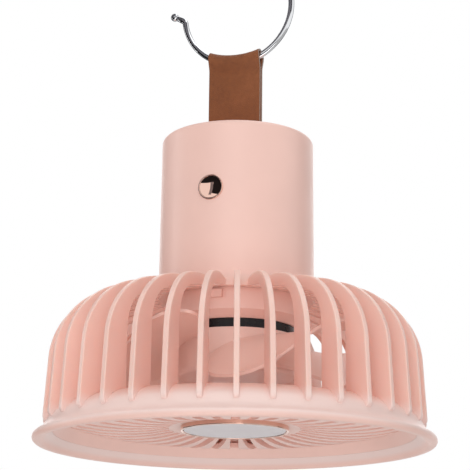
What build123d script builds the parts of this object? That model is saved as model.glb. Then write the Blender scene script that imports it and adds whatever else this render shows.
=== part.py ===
from build123d import *
from math import acos, asin, cos, degrees, radians, sin, sqrt, tan
import os

# Portable hanging fan: a caged axial fan under a round battery housing, carried by a
# leather strap on a wire S-hook. Millimetres, +Z up. Every piece is drawn with z = 0 in
# the plane of the cage's rim and is lowered at the end, so that the origin of the
# finished part is the point where the hook hangs on its rail.

# ---------------------------------------------------------------- driving dimensions
# battery housing
BODY_R = 33.75           # outer radius at the foot
BODY_DRAFT = 0.3         # smaller at the top by this much
BODY_Z = 66.5            # parting line between cage and housing
BODY_H = 68.3
BODY_EDGE = 2.3          # rounded top edge
WALL = 2.0               # moulded wall of the housing
TOP_WALL = 2.5
BOSS_R = 3.2             # screw bosses of the housing
BOSS_H = 17.0
BOSS_IN = 9.25           # boss's axis inside the housing's bore
BOSS_COUNT = 3
BOSS_START = 60.0        # first boss, degrees from the front

# strap, its bar and its recess
STRAP_W = 23.8
STRAP_X = -1.25          # the loop hangs a little to one side of the middle
STRAP_T = 1.6
STRAP_GAP = 0.3          # between the two legs of the loop
STRAP_SIDE = 0.95        # play of the loop beside the hook's wire
SOFT_GAP = 0.3           # soft pieces stay this clear of hard ones
BAR_R = 1.25
BAR_DROP = 3.5           # bar's axis below the housing's top
BAR_SEAT = 3.0           # length of each bar end in the wall of the recess
RECESS_PLAY = 2.0        # room for the strap to slide along its bar, each way
RECESS_W = 10.4
RECESS_DEPTH = 7.5
RECESS_WALL = 2.0

# S-hook
WIRE_R = 1.45
BOWL_R = 25.6            # centreline of each bowl
BALL_R = 1.9
HOOK_LIFT = 37.8         # bowl's lowest centreline above the housing's top
HOOK_LEAN = 0.75         # degrees that the hook leans on its rail
HOOK_STOP = 10.0         # degrees short of the level line where a bowl ends
FLARE_R = 6.0
FLARE_TURN = 52.0
FLARE_RUN = 3.2

# fan cage
FIN_COUNT = 36
FIN_T = 2.4
FIN_SINK = 1.0           # a fin's root runs this far into the neck
FIN_RUN = 47.15          # its arcs start this far inside the base's outer radius
FIN_ROOT_Z = 64.8        # top of a fin where its arcs start
FIN_RISE = 5.0           # degrees that a fin climbs at the neck
CROWN_R = 68.0           # arc over the crown
CROWN_TURN = 20.0
SHOULDER_R = 31.0        # arc over the shoulder
SHOULDER_TURN = 71.5
FIN_EDGE = 0.5           # rounded outer edges of a fin
FIN_FOOT_Z = 7.0
FIN_TOE = 2.8            # rounded lower corner of a fin
FIN_UNDER_R = 52.0       # where the underside of a fin starts to turn down
FIN_UNDER_Z = 58.4
FIN_IN = 11.7            # inner edge, inside the base's outer radius
FIN_IN_TOP = 38.0
NECK_H = 4.5
NECK_FIT = 0.15          # round the motor holder

# curved base that carries the fins, and its flared rim
RIM_R = 85.8
RIM_OUT = 4.9            # rim outside the base
BASE_A = 15.0            # the base's section is a quarter of an ellipse
BASE_B = 10.6
BASE_Z = 4.5             # height of the ellipse's centre
BASE_T = 2.0
BASE_W = 14.5            # inner edge of the base, inside its outer radius
RIM_LOW = 0.5            # rim's lowest point under z = 0
FLARE_TOP = 7.3          # where the base starts to flare
LIP_TOP = 3.0
LIP_W = 3.6              # level face under the rim

# front grille
SEAT_EDGE = 3.7          # bore round the grille, inside the base's outer radius
GRILLE_FIT = 0.1
GRILLE_T = 2.2
GRILLE_LOW_R = 46.0      # radius of the grille's lowest circle
GRILLE_LOW_Z = 5.2
GRILLE_SLOPE = 4.3       # width of the slope from the grille's bore to its dish
GRILLE_OUT_Z = 8.65
GRILLE_HUB_R = 24.0
GRILLE_HUB_Z = 7.6
CONE_Z = 4.0             # height of the seam between grille and rim
COLLAR_Z = 8.6           # top of the grille's collar, under the base
SLOT_COUNT = 36
SLOT_IN_R = 28.0
SLOT_END = 0.7           # slots end this far inside the slope
SLOT_IN_W = 3.4
SLOT_OUT_W = 4.6

# hub plate and its trim ring
RING_R = 23.2
RING_W = 1.2
RING_H = 2.0
PLATE_FIT = 0.1
PLATE_T = 1.75
PLATE_PEG_R = 2.0
PLATE_PEG_L = 3.4

# motor holder
HOLDER_STEP = 1.75       # holder inside the housing's bore
HOLDER_WALL = 2.0
HOLDER_LOW = 49.9
HOLDER_FLOOR = 2.0
HOLDER_TAPER = 4.0       # its cone narrows by this at the bottom
HOLDER_CONE = 3.1
HOLDER_FLANGE = 2.0
TAB_COUNT = 4
TAB_START = 3.0
TAB_W = 6.0
TAB_H = 3.3
TAB_LOW = 57.7
TAB_OUT = 1.3
SPIGOT_H = 5.0
SPIGOT_FIT = 0.15

# motor
SHAFT_R = 1.5
RUN_FIT = 0.02           # running fit of shafts
BEARING_R = 3.5
BEARING_H = 3.0
BUSH_R = 4.5
BUSH_FLANGE_R = 9.0
BUSH_FLANGE_T = 1.5
STATOR_R = 21.0
STATOR_H = 6.5
STATOR_TEETH = 12
STATOR_YOKE = 5.0        # ring of the core round the bush
TOOTH_W = 3.0
SHOE_T = 1.8
SHOE_GAP = 2.0
COIL_W = 6.4
COIL_H = 2.6             # windings are taller than the core by this much
AIR_GAP = 0.6
MAGNET_T = 1.8
CAN_T = 1.2
CAN_H = 12.0
CAN_RING_R = 25.8
CAN_RING_H = 3.5
ROTOR_GAP = 0.3          # rotor under the holder's floor
HUB_SEAT = 0.1           # between the can's ring and the hub's edge

# impeller
BLADE_COUNT = 5
HUB_R = 26.0
HUB_WALL = 1.3
HUB_H = 17.6
HUB_FLOOR = 2.0
HUB_EDGE = 2.0
TIP_GAP = 8.2            # between the blades' tips and the fins
BLADE_T = 1.3            # thickness of a blade, measured upright
BLADE_TURN = 31.8        # the first blade's own front, degrees from the fan's front
LEAD_ROOT = (-18.4, 18.4)    # plan of a blade: leading edge at the hub and at the tip
LEAD_TIP = (-20.9, -3.7)     # (x, distance less the tip's radius)
TRAIL_TIP = (43.6, -18.3)    # trailing edge at the tip and at the hub
TRAIL_ROOT = (9.9, 24.0)
LEAD_CORNER = 12.0
TRAIL_CORNER = 4.0
BLADE_X = (-22.0, -6.0, 12.0, 30.0, 48.0)        # places across a blade
BLADE_RISE = (           # distance inside the tips, then its underside's height at each place
    (46.0, (25.2, 38.7, 42.6, 43.1, 42.9)),
    (35.0, (23.0, 38.6, 42.6, 43.2, 42.7)),
    (20.0, (21.1, 31.3, 38.9, 43.3, 43.1)),
    (3.0, (18.2, 21.5, 33.2, 44.2, 48.5)),
    (-1.0, (17.6, 20.4, 31.7, 43.6, 49.5)))

# battery, tray and boards
CELL_R = 9.2
CELL_L = 65.0
CELL_FIT = 0.2
TRAY_WALL = 1.2
BOARD_T = 1.6
BOARD_Y = 20.8           # front face of the control board before the axis
BOARD_W = 34.0
BOARD_H = 28.0
POST_R = 2.0
CHARGE_W = 20.0
CHARGE_Z = 89.0

# power button
BUTTON_Z = 104.8
BUTTON_R = 4.75
BEZEL_R = 5.5
BUTTON_FIT = 0.1
BUTTON_TRAVEL = 1.0
BUTTON_PROUD = 0.35
DISH_DEPTH = 0.9
STEM_R = 2.0
SWITCH_W = 6.0
SWITCH_T = 3.5
PLUNGER_R = 1.7

# charging socket
USB_Z = 92.0
USB_W = 8.9
USB_H = 3.2
USB_L = 7.3
USB_FIT = 0.25

# screws
SCREW_R = 1.25
SCREW_HEAD_R = 2.3
SCREW_HEAD_H = 1.6
SMALL_R = 1.0
SMALL_HEAD_R = 1.8
SMALL_HEAD_H = 1.2

# ---------------------------------------------------------------- places that follow
BODY_TOP = BODY_Z + BODY_H
BORE_R = BODY_R - WALL
BOSS_PITCH_R = BORE_R - BOSS_IN
HOLDER_R = BORE_R - HOLDER_STEP
HOLDER_LIP_R = HOLDER_R - HOLDER_TAPER
NECK_BORE_R = HOLDER_R + NECK_FIT
BAR_Z = BODY_TOP - BAR_DROP
RECESS_L = STRAP_W + 2 * RECESS_PLAY
RECESS_FLOOR = BODY_TOP - RECESS_DEPTH
BOWL_Z = BODY_TOP + HOOK_LIFT + BOWL_R           # centre of the lower bowl
BOWL_X = -2 * BOWL_R * sin(radians(HOOK_LEAN))
UPPER_Z = BOWL_Z + 2 * BOWL_R                    # centre of the upper bowl
HANG_Z = UPPER_Z + BOWL_R - WIRE_R               # where the hook bears on its rail
FLOOR_TOP = HOLDER_LOW + HOLDER_FLOOR
NECK_LOW = BODY_Z - NECK_H
BASE_R = RIM_R - RIM_OUT
BASE_IN_R = BASE_R - BASE_W
BASE_MID_R = BASE_R - BASE_A                     # centre of the base's ellipse
BASE_TOP = BASE_Z + BASE_B
LIP_IN_R = RIM_R - LIP_W
SEAT_R = BASE_R - SEAT_EDGE
GRILLE_OUT_R = SEAT_R - GRILLE_SLOPE
SLOT_OUT_R = GRILLE_OUT_R - SLOT_END
FIN_IN_R = BASE_R - FIN_IN
TIP_R = FIN_IN_R - TIP_GAP
CAN_TOP = HOLDER_LOW - ROTOR_GAP
CAN_LOW = CAN_TOP - CAN_H
MAGNET_R = STATOR_R + AIR_GAP + MAGNET_T
CAN_R = MAGNET_R + CAN_T
HUB_TOP = CAN_TOP - CAN_RING_H - HUB_SEAT
HUB_LOW = HUB_TOP - HUB_H
STATOR_Z = CAN_TOP - MAGNET_T - STATOR_H
BUSH_LOW = CAN_LOW + CAN_T + 0.6
CELL_X = CELL_R + CELL_FIT + TRAY_WALL / 2
CELL_LOW = RECESS_FLOOR - RECESS_WALL - 0.5 - CELL_L
TRAY_R = CELL_R + CELL_FIT + TRAY_WALL
UP = (Align.CENTER, Align.CENTER, Align.MIN)
OUT = []


# ---------------------------------------------------------------- helpers
def disc(radius, low, high):
    """Upright cylinder from one height to another."""
    return Pos(0, 0, low) * Cylinder(radius, high - low, align=UP)


def tube(outer, inner, low, high):
    return disc(outer, low, high) - disc(inner, low - 1, high + 1)


def around(angle):
    """Turn about the fan's axis; 0 is the front and positive is towards +X."""
    return Rot(0, 0, angle)


def front_disc(radius, near, far):
    """Cylinder along Y at the origin, from y = -near to y = -far."""
    return Pos(0, -near, 0) * Rot(-90, 0, 0) * Cylinder(radius, near - far, align=UP)


def turned(*edges):
    """Solid of revolution about Z from a closed outline of (radius, height)."""
    return revolve(Plane.XZ * make_face(Wire(edges)), Axis.Z)


def body_radius(height):
    """Outer radius of the drafted housing at a height."""
    return BODY_R - BODY_DRAFT * (height - BODY_Z) / BODY_H


def boss_places():
    return [around(BOSS_START + 360 / BOSS_COUNT * n) * Pos(0, -BOSS_PITCH_R, 0)
            for n in range(BOSS_COUNT)]


def add(name, shape):
    """Keep a finished piece: its node's name, in the frame of the hanging point."""
    solids = shape.solids()
    lowered = [s.moved(Location((0, 0, -HANG_Z))) for s in solids]
    OUT.append((name, lowered[0] if len(lowered) == 1 else Compound(children=lowered)))


# ---------------------------------------------------------------- hook and strap
def s_hook():
    """Two bowls of wire, opening to opposite sides, each end flared to a ball."""
    sweep_deg = 270 - HOOK_STOP
    lower = CenterArc((0, BOWL_Z), BOWL_R, 90, -sweep_deg)
    upper = CenterArc((0, UPPER_Z), BOWL_R, 270, -sweep_deg)
    path = [lower, upper]
    balls = []
    for arc in (lower, upper):
        flare = JernArc(arc @ 1, arc % 1, FLARE_R, FLARE_TURN)
        end = flare @ 1 + (flare % 1) * FLARE_RUN
        path += [flare, Line(flare @ 1, end)]
        balls.append(end)
    pieces = []
    for edge in path:
        placed = Plane.XZ * edge
        pieces.append(sweep(Plane(origin=placed @ 0, z_dir=placed % 0) * Circle(WIRE_R), path=placed))
    hook = pieces[0]
    for piece in pieces[1:]:
        hook += piece
    for end in balls:
        hook += Pos(end.X, 0, end.Y) * Sphere(BALL_R)
    rail = Pos(0, 0, UPPER_Z)
    return rail * Rot(0, HOOK_LEAN, 0) * rail.inverse() * hook


def leather_strap():
    """A closed leather loop: round the bar below, and over the hook's curved wire above."""
    def side(grow):
        low_r = BAR_R + SOFT_GAP + grow
        top_r = WIRE_R + STRAP_SIDE + grow
        half = STRAP_GAP / 2 + grow
        low_z = BAR_Z
        top_z = BOWL_Z - BOWL_R - STRAP_SIDE + SOFT_GAP
        low = ThreePointArc((-low_r, low_z), (0, low_z - low_r), (low_r, low_z))
        neck = 6.0
        right = Spline((low_r, low_z), (half, low_z + neck), tangents=((0, 1), (0, 1)))
        right_leg = Line((half, low_z + neck), (half, top_z - neck))
        right_top = Spline((half, top_z - neck), (top_r, top_z), tangents=((0, 1), (0, 1)))
        rise = Line((top_r, top_z), (top_r, top_z + BOWL_R))
        over = Line((top_r, top_z + BOWL_R), (-top_r, top_z + BOWL_R))
        fall = Line((-top_r, top_z + BOWL_R), (-top_r, top_z))
        left_top = Spline((-top_r, top_z), (-half, top_z - neck), tangents=((0, -1), (0, -1)))
        left_leg = Line((-half, top_z - neck), (-half, low_z + neck))
        left = Spline((-half, low_z + neck), (-low_r, low_z), tangents=((0, -1), (0, -1)))
        outline = make_face(Wire([low, right, right_leg, right_top, rise, over, fall,
                                  left_top, left_leg, left]))
        return Pos(STRAP_X, 0, 0) * extrude(Plane.YZ * outline, STRAP_W / 2, both=True)

    fold_r = BOWL_R + STRAP_SIDE - SOFT_GAP        # fold's centre circle about the bowl
    legs = side(STRAP_T) - side(0)
    within = Pos(BOWL_X, 0, BOWL_Z) * Rot(90, 0, 0) * Cylinder(fold_r, 20)
    rim = Plane.YZ * (Pos(0, BOWL_Z - fold_r) * (Circle(WIRE_R + STRAP_SIDE + STRAP_T)
                                                - Circle(WIRE_R + STRAP_SIDE)))
    fold = Pos(BOWL_X, 0, 0) * revolve(rim, Axis((0, 0, BOWL_Z), (0, 1, 0)), 360)
    fold &= within
    fold &= Pos(STRAP_X, 0, BOWL_Z - BOWL_R) * Box(STRAP_W, 20, BOWL_R)
    return legs - within + fold


def strap_bar():
    length = RECESS_L + 2 * BAR_SEAT
    return Pos(0, 0, BAR_Z) * Rot(0, 90, 0) * Cylinder(BAR_R, length)


# ---------------------------------------------------------------- battery housing
def battery_housing():
    """Moulded cup, closed at the top, with the strap's recess, screw bosses and two ports."""
    top_r = body_radius(BODY_TOP)
    shell = turned(
        Line((0, BODY_Z), (BODY_R, BODY_Z)),
        Line((BODY_R, BODY_Z), (top_r, BODY_TOP - BODY_EDGE)),
        JernArc((top_r, BODY_TOP - BODY_EDGE), (0, 1), BODY_EDGE, 90),
        Line((top_r - BODY_EDGE, BODY_TOP), (0, BODY_TOP)),
        Line((0, BODY_TOP), (0, BODY_Z)))
    shell -= disc(BORE_R - BODY_DRAFT, BODY_Z - 1, BODY_TOP - TOP_WALL)
    shell -= disc(BORE_R, BODY_Z - 1, BODY_Z + SPIGOT_H + 1)
    pocket_h = RECESS_DEPTH + RECESS_WALL
    pocket = Pos(0, 0, BODY_TOP - pocket_h) * Box(
        RECESS_L + 2 * (BAR_SEAT + 1), RECESS_W + 2 * RECESS_WALL, pocket_h - 1, align=UP)
    shell += pocket
    recess = Pos(0, 0, RECESS_FLOOR) * Box(RECESS_L, RECESS_W, RECESS_DEPTH + 1, align=UP)
    shell -= fillet(recess.edges().filter_by(Axis.Z), 2.0)
    shell -= strap_bar()
    for place in boss_places():
        post = place * disc(BOSS_R, BODY_Z, BODY_Z + BOSS_H)
        reach = BORE_R - BOSS_PITCH_R
        rib = place * Pos(0, -reach / 2, BODY_Z) * Box(WALL, reach, BOSS_H, align=UP)
        shell += post
        shell += rib
        shell -= place * disc(SCREW_R, BODY_Z - 1, BODY_Z + BOSS_H - WALL)
    shell -= holder_spigot(SPIGOT_FIT)
    shell -= Pos(0, 0, BUTTON_Z) * front_disc(BEZEL_R, BODY_R + 1, BORE_R - 3)
    slot = RectangleRounded(USB_W + 2 * USB_FIT, USB_H + 2 * USB_FIT, USB_H / 2)
    shell -= Pos(0, BORE_R - 2, USB_Z) * Rot(-90, 0, 0) * extrude(slot, WALL + 4)
    return shell


def holder_spigot(grow=0.0):
    """Ring on top of the motor holder that centres the housing."""
    outer = BORE_R - SPIGOT_FIT + grow
    return tube(outer, BORE_R - WALL - grow, BODY_Z, BODY_Z + SPIGOT_H + grow)


# ---------------------------------------------------------------- fan cage
def base_angle(inset, radius):
    """Angle on the base's ellipse, moved in by an inset, at which it has a radius."""
    return degrees(acos((radius - BASE_MID_R) / (BASE_A - inset)))


def base_arc(inset, start, end):
    """Stretch of the base's quarter ellipse, moved in by an inset."""
    return EllipticalCenterArc((BASE_MID_R, BASE_Z), BASE_A - inset, BASE_B - inset,
                               start_angle=start, arc_size=end - start)


def fin_outline():
    """One fin in (radius, height): a crown, a shoulder and a straight side."""
    start = (BASE_R - FIN_RUN, FIN_ROOT_Z)
    root_r = min(BODY_R, start[0]) - FIN_SINK
    tail = Line((root_r, FIN_ROOT_Z - (start[0] - root_r) * tan(radians(FIN_RISE))), start)
    crown = JernArc(start, (cos(radians(FIN_RISE)), sin(radians(FIN_RISE))), CROWN_R, -CROWN_TURN)
    shoulder = JernArc(crown @ 1, crown % 1, SHOULDER_R, -SHOULDER_TURN)
    drop = (shoulder @ 1).Y - FIN_FOOT_Z - FIN_TOE
    lean = (shoulder % 1).X / -(shoulder % 1).Y
    foot = ((shoulder @ 1).X + drop * lean, FIN_FOOT_Z + FIN_TOE)
    side = Line(shoulder @ 1, foot)
    toe = JernArc(foot, side % 1, FIN_TOE, -90)
    heel = base_arc(BASE_T / 2, 20, base_angle(BASE_T / 2, FIN_IN_R))
    up = Line(toe @ 1, heel @ 0)
    inner = Line(heel @ 1, (FIN_IN_R, FIN_IN_TOP))
    under = Spline(inner @ 1, (FIN_UNDER_R, FIN_UNDER_Z), tangents=((0, 1), (-1, 0.12)))
    back = Line(under @ 1, (root_r, NECK_LOW + 0.4))
    return [tail, crown, shoulder, side, toe, up, heel, inner, under, back,
            Line(back @ 1, tail @ 0)]


def fan_cage():
    """Neck ring, curved fins, curved base and flared rim, moulded in one piece."""
    neck = tube(BODY_R, NECK_BORE_R, NECK_LOW, BODY_Z)
    neck -= disc(BORE_R, BODY_Z - HOLDER_FLANGE, BODY_Z + 1)
    outer = base_arc(0, degrees(asin((FLARE_TOP - BASE_Z) / BASE_B)), base_angle(0, BASE_IN_R))
    inner = base_arc(BASE_T, base_angle(BASE_T, SEAT_R), base_angle(BASE_T, BASE_IN_R))
    lip_mid = (RIM_R, (LIP_TOP - RIM_LOW) / 2)
    base = turned(
        outer,
        Line(outer @ 1, inner @ 1),
        inner,
        Line(inner @ 0, (SEAT_R, CONE_Z - 0.1)),
        Line((SEAT_R, CONE_Z - 0.1), (LIP_IN_R, -RIM_LOW / 2)),
        Line((LIP_IN_R, -RIM_LOW / 2), (LIP_IN_R + 0.6, -RIM_LOW)),
        Line((LIP_IN_R + 0.6, -RIM_LOW), (RIM_R - 1.6, -RIM_LOW)),
        ThreePointArc((RIM_R - 1.6, -RIM_LOW), lip_mid, (RIM_R - 0.9, LIP_TOP - 0.1)),
        ThreePointArc((RIM_R - 0.9, LIP_TOP - 0.1), (BASE_R + 1.3, LIP_TOP + 1.5), outer @ 0))
    outline = fin_outline()
    shown = [edge @ 0.5 for edge in outline[:5]]       # from the neck to the rounded toe
    fin = extrude(Plane.XZ * make_face(Wire(outline)), FIN_T / 2, both=True)
    edges = [edge for edge in fin.edges() if abs(abs((edge @ 0.5).Y) - FIN_T / 2) < 0.01
             and min(abs((edge @ 0.5).X - p.X) + abs((edge @ 0.5).Z - p.Y) for p in shown) < 0.01]
    fin = fillet(edges, FIN_EDGE)
    fin = around(-90) * fin - disc(NECK_BORE_R, BASE_TOP, BODY_Z + 1)
    fins = [around(360 / FIN_COUNT * n) * fin for n in range(FIN_COUNT)]
    return neck.fuse(base, *fins)


# ---------------------------------------------------------------- front grille
def slot_cut():
    """One radial slot, a little wider at its outer end, with rounded corners."""
    low, high = SLOT_IN_W / 2, SLOT_OUT_W / 2
    outline = Polygon((-high, -SLOT_OUT_R), (high, -SLOT_OUT_R), (low, -SLOT_IN_R),
                      (-low, -SLOT_IN_R), align=None)
    outline = fillet(outline.vertices(), low * 0.8)
    return extrude(outline, BASE_TOP)


def front_grille():
    """Dished guard with a flat hub, radial slots and the inner slope of the bell."""
    out_r = SEAT_R - GRILLE_FIT
    top = GRILLE_T
    plate = turned(
        Line((0, GRILLE_HUB_Z), (GRILLE_HUB_R, GRILLE_HUB_Z)),
        ThreePointArc((GRILLE_HUB_R, GRILLE_HUB_Z), (GRILLE_LOW_R, GRILLE_LOW_Z),
                      (GRILLE_OUT_R, GRILLE_OUT_Z)),
        Line((GRILLE_OUT_R, GRILLE_OUT_Z), (out_r, CONE_Z)),
        Line((out_r, CONE_Z), (out_r, COLLAR_Z)),
        Line((out_r, COLLAR_Z), (out_r - top, COLLAR_Z + 2.0)),
        Line((out_r - top, COLLAR_Z + 2.0), (GRILLE_OUT_R, GRILLE_OUT_Z + top)),
        ThreePointArc((GRILLE_OUT_R, GRILLE_OUT_Z + top), (GRILLE_LOW_R, GRILLE_LOW_Z + top),
                      (GRILLE_HUB_R, GRILLE_HUB_Z + top)),
        Line((GRILLE_HUB_R, GRILLE_HUB_Z + top), (0, GRILLE_HUB_Z + top)),
        Line((0, GRILLE_HUB_Z + top), (0, GRILLE_HUB_Z)))
    cut = slot_cut()
    plate = plate.cut(*[around(360 / SLOT_COUNT * n) * cut for n in range(SLOT_COUNT)])
    for n in range(3):
        peg = around(120 * n) * Pos(0, -(RING_R - RING_W) / 2, 0)
        plate -= peg * disc(PLATE_PEG_R + PLATE_FIT, 0, BASE_TOP)
    return plate


def hub_plate():
    """Plain disc in the middle of the grille, held by three pegs."""
    high = GRILLE_HUB_Z
    edge = RING_R - RING_W - PLATE_FIT
    plate = disc(edge, high - PLATE_T, high)
    plate = fillet(plate.edges().group_by(Axis.Z)[0], 0.4)
    for n in range(3):
        peg = around(120 * n) * Pos(0, -(RING_R - RING_W) / 2, 0)
        plate += peg * disc(PLATE_PEG_R, high - 0.5, high + PLATE_PEG_L)
    return plate


def hub_trim_ring():
    ring = tube(RING_R, RING_R - RING_W, GRILLE_HUB_Z - RING_H, GRILLE_HUB_Z)
    return fillet(ring.edges().group_by(Axis.Z)[0], RING_W * 0.4)


# ---------------------------------------------------------------- motor holder
def motor_holder():
    """Cup under the neck: it carries the motor, and its flange is clamped at the neck."""
    inner = HOLDER_R - HOLDER_WALL
    cup = turned(
        Line((0, HOLDER_LOW), (HOLDER_LIP_R, HOLDER_LOW)),
        Line((HOLDER_LIP_R, HOLDER_LOW), (HOLDER_R, HOLDER_LOW + HOLDER_CONE)),
        Line((HOLDER_R, HOLDER_LOW + HOLDER_CONE), (HOLDER_R, BODY_Z)),
        Line((HOLDER_R, BODY_Z), (0, BODY_Z)),
        Line((0, BODY_Z), (0, HOLDER_LOW)))
    cup -= disc(inner, FLOOR_TOP, BODY_Z + 1)
    cup += tube(BORE_R - SPIGOT_FIT, inner, BODY_Z - HOLDER_FLANGE, BODY_Z)
    cup += holder_spigot()
    for place in boss_places():
        cup += place * disc(BOSS_R, HOLDER_LOW, BODY_Z)
        cup -= place * disc(SCREW_R + RUN_FIT, HOLDER_LOW - 1, BODY_Z + 1)
        cup -= place * disc(SCREW_HEAD_R + SPIGOT_FIT, HOLDER_LOW - 1, HOLDER_LOW + SCREW_HEAD_H)
    cup -= disc(BUSH_R + RUN_FIT, HOLDER_LOW - 1, FLOOR_TOP + 1)
    for place in motor_screw_places():
        cup -= place * disc(SMALL_R + RUN_FIT, HOLDER_LOW - 1, FLOOR_TOP + 1)
    for n in range(TAB_COUNT):
        turn = around(TAB_START + 360 / TAB_COUNT * n)
        tab = Pos(0, -HOLDER_R + 0.5, TAB_LOW) * Box(
            TAB_W, 2 * TAB_OUT + 1, TAB_H, align=(Align.CENTER, Align.CENTER, Align.MIN))
        cut = Pos(TAB_W / 2 + 0.7, -HOLDER_R, TAB_LOW) * Box(
            1.4, 1.2, TAB_H, align=(Align.CENTER, Align.CENTER, Align.MIN))
        cup += turn * tab
        cup -= turn * cut
    return cup


def motor_screw_places():
    return [around(30 + 120 * n) * Pos(0, -(BUSH_R + BUSH_FLANGE_R) / 2, 0) for n in range(3)]


# ---------------------------------------------------------------- motor
def motor_bush():
    """Flanged tube that the motor's bearings and core sit on."""
    low = BUSH_LOW
    high = FLOOR_TOP + BUSH_FLANGE_T
    bush = disc(BUSH_R, low, high)
    bush += disc(BUSH_FLANGE_R, FLOOR_TOP, high)
    bush -= disc(SHAFT_R + 1.0, low - 1, high + 1)
    bush -= disc(BEARING_R + RUN_FIT, low - 1, low + BEARING_H)
    bush -= disc(BEARING_R + RUN_FIT, high - BEARING_H, high + 1)
    for place in motor_screw_places():
        bush -= place * disc(SMALL_R + RUN_FIT, FLOOR_TOP - 1, high + 1)
    return bush


def motor_bearings():
    low = BUSH_LOW
    high = FLOOR_TOP + BUSH_FLANGE_T
    first = tube(BEARING_R, SHAFT_R + RUN_FIT, low, low + BEARING_H)
    second = tube(BEARING_R, SHAFT_R + RUN_FIT, high - BEARING_H, high)
    return Compound(children=[first, second])


def stator_core():
    """Laminated core: a yoke with teeth that end in shoes."""
    high = STATOR_Z + STATOR_H
    yoke = tube(BUSH_R + STATOR_YOKE, BUSH_R + RUN_FIT, STATOR_Z, high)
    shoe = tube(STATOR_R, STATOR_R - SHOE_T, STATOR_Z, high)
    step = 360 / STATOR_TEETH
    gap = Pos(0, -STATOR_R, STATOR_Z - 1) * Box(SHOE_GAP, 8, STATOR_H + 2, align=UP)
    near, far = BUSH_R + STATOR_YOKE - 1, STATOR_R - SHOE_T / 2
    tooth = Pos(0, -(near + far) / 2, STATOR_Z) * Box(TOOTH_W, far - near, STATOR_H, align=UP)
    shoe = shoe.cut(*[around(step * (n + 0.5)) * gap for n in range(STATOR_TEETH)])
    return yoke.fuse(shoe, *[around(step * n) * tooth for n in range(STATOR_TEETH)])


def stator_windings():
    """One coil round each tooth, between the yoke and the shoes."""
    step = 360 / STATOR_TEETH
    near, far = BUSH_R + STATOR_YOKE + 0.3, STATOR_R - SHOE_T - 0.4
    mid = -(near + far) / 2
    low = STATOR_Z - COIL_H / 2
    coil = Pos(0, mid, low) * Box(COIL_W, far - near, STATOR_H + COIL_H, align=UP)
    coil = fillet(coil.edges().filter_by(Axis.Y), 1.2)
    wedge = extrude(Polygon((-COIL_W / 2, -far), (COIL_W / 2, -far), (2.3, -near), (-2.3, -near),
                            align=None), STATOR_H + COIL_H + 2)
    coil &= Pos(0, 0, low - 1) * wedge
    coil -= Pos(0, mid, STATOR_Z) * Box(TOOTH_W, far - near + 2, STATOR_H, align=UP)
    return Compound(children=[around(step * n) * s for n in range(STATOR_TEETH)
                              for s in coil.solids()])


def magnet_ring():
    return tube(MAGNET_R, STATOR_R + AIR_GAP, CAN_LOW + CAN_T, STATOR_Z + STATOR_H + 1)


def rotor_can():
    """Steel cup round the magnets, closed below, with a rolled ring at its mouth."""
    can = disc(CAN_R, CAN_LOW, CAN_TOP)
    can += disc(CAN_RING_R, CAN_TOP - CAN_RING_H, CAN_TOP)
    can -= disc(MAGNET_R, CAN_LOW + CAN_T, CAN_TOP + 1)
    can -= disc(SHAFT_R, CAN_LOW - 1, CAN_LOW + CAN_T + 1)
    return can


def motor_shaft():
    high = FLOOR_TOP + BUSH_FLANGE_T + 2.5
    return disc(SHAFT_R, HUB_LOW + 0.6, high)


def shaft_clip():
    """Circlip that keeps the rotor from dropping out of the bearings."""
    low = FLOOR_TOP + BUSH_FLANGE_T + 0.1
    clip = tube(SHAFT_R + 1.7, SHAFT_R, low, low + 0.6)
    return clip - Pos(0, -SHAFT_R - 1, low) * Box(1.4, 2.6, 2)


# ---------------------------------------------------------------- impeller
def blade_section(distance, heights):
    """Thin curved section across a blade, square to the blade's own front."""
    low = Spline(*zip(BLADE_X, heights))
    high = Spline(*[(x, z + BLADE_T) for x, z in zip(BLADE_X, heights)])
    outline = Wire([low, Line(low @ 1, high @ 1), high, Line(high @ 0, low @ 0)])
    return Plane(origin=(0, -distance, 0), x_dir=(1, 0, 0), z_dir=(0, -1, 0)) * make_face(outline)


def blade_plan():
    """Outline of a blade seen from above, with its two tip corners rounded."""
    lead_root, trail_root = [(x, -y) for x, y in (LEAD_ROOT, TRAIL_ROOT)]
    lead_tip, trail_tip = [(x, -(TIP_R + y)) for x, y in (LEAD_TIP, TRAIL_TIP)]
    bulge = (TIP_R * sin(radians(12)), -TIP_R * cos(radians(12)))
    plan = make_face(Wire([
        Line(lead_root, lead_tip), ThreePointArc(lead_tip, bulge, trail_tip),
        Line(trail_tip, trail_root), Line(trail_root, (0, 0)), Line((0, 0), lead_root)]))
    plan = fillet(plan.vertices().sort_by_distance((*lead_tip, 0))[0], LEAD_CORNER)
    return fillet(plan.vertices().sort_by_distance((*trail_tip, 0))[0], TRAIL_CORNER)


def impeller():
    """Cup-shaped hub with wide, swept and cambered blades."""
    hub = disc(HUB_R, HUB_LOW, HUB_TOP)
    hub = fillet(hub.edges().group_by(Axis.Z)[0], HUB_EDGE)
    hub -= disc(HUB_R - HUB_WALL, HUB_LOW + HUB_FLOOR, HUB_TOP + 1)
    blade = loft([blade_section(TIP_R - inside, heights) for inside, heights in BLADE_RISE])
    blade &= extrude(blade_plan(), BODY_Z)
    blade -= disc(HUB_R - HUB_WALL / 2, 0, BODY_Z)
    step = 360 / BLADE_COUNT
    blades = [around(BLADE_TURN + step * n) * blade for n in range(BLADE_COUNT)]
    wheel = hub.fuse(*blades)
    wheel += tube(4.0, SHAFT_R, HUB_LOW + 0.5, CAN_LOW - 0.2)
    wheel -= disc(SHAFT_R, HUB_LOW + 0.6, HUB_TOP)
    return wheel


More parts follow.
